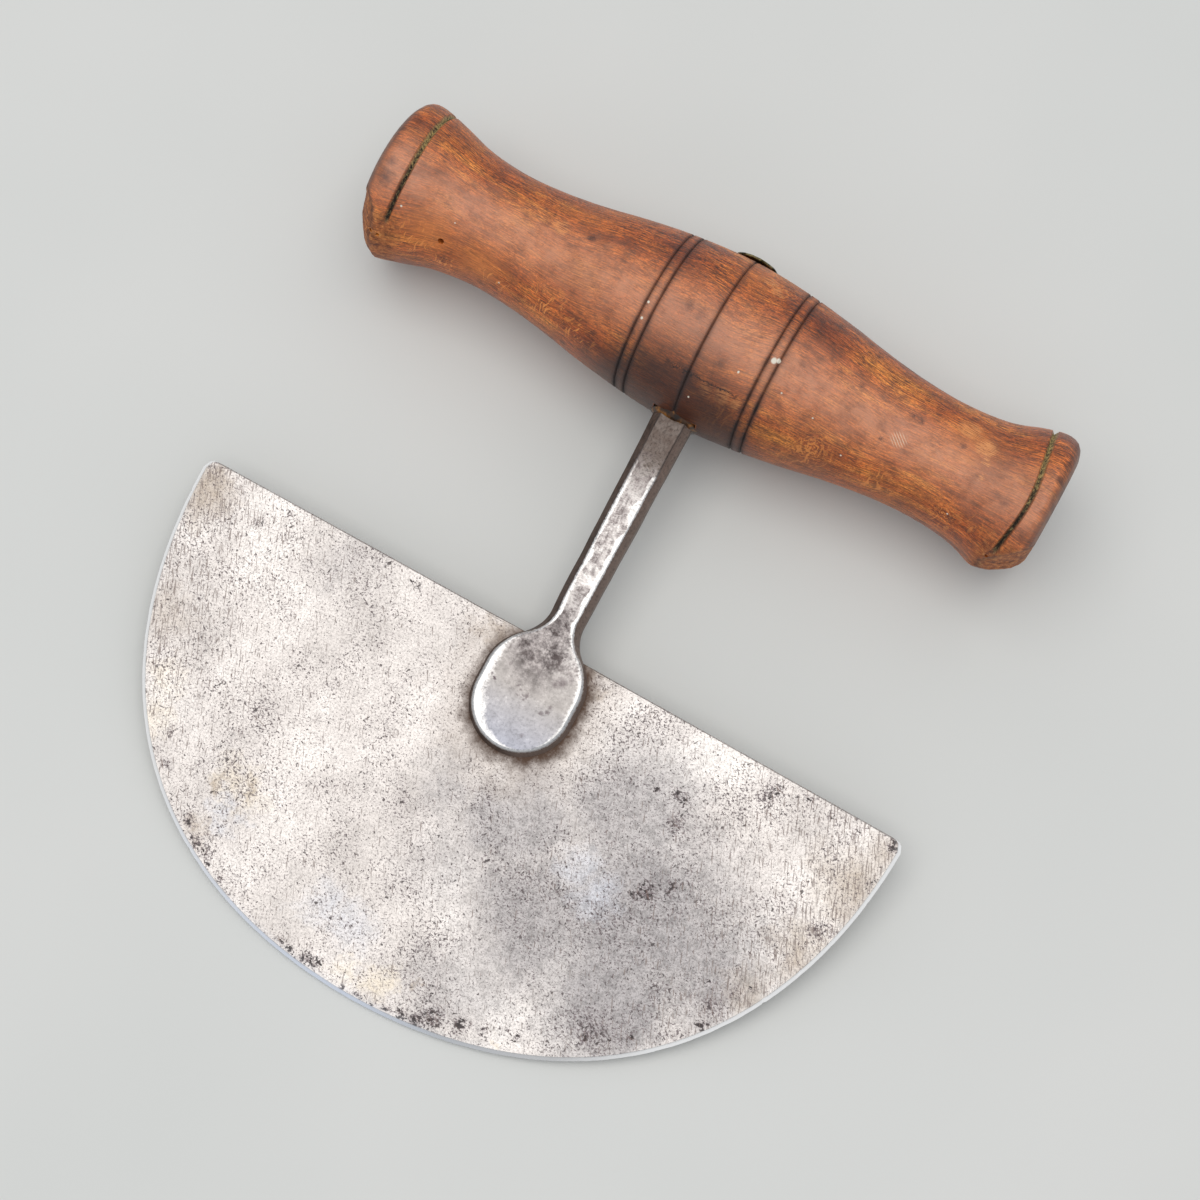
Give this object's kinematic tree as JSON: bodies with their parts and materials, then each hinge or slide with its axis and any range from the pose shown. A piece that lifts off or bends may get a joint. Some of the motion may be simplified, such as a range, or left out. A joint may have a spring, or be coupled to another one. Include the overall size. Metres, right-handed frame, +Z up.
{
  "type": "mezzaluna",
  "caption": "Half-round chopping blade on a forged stem with a turned wooden T handle, for rocking cuts by hand.",
  "frame": {"origin": "centre of the footprint, on the table that the tool lies on", "axes": "+X along the handle, +Y from the cutting edge towards the handle across the spine, +Z up, square to the table"},
  "size_m": [0.1781, 0.1877, 0.041],
  "materials": {
    "blade_steel": "old ground carbon steel, finely pitted, satin",
    "forged_iron": "forged iron, worn bright on the faces and dark in the hollows",
    "rivet_iron": "iron, filed flush and worn bright",
    "beech": "turned beech, stained by handling, waxed, low sheen",
    "cutlers_cement": "hard amber resin, dull",
    "rove_brass": "dark tarnished brass"
  },
  "bodies": {
    "root": {"blade": "blade_steel", "stem": "forged_iron", "palm_rivet": "rivet_iron", "handle": "beech", "tang_bedding": "cutlers_cement", "rove": "rove_brass"}
  },
  "joints": []
}
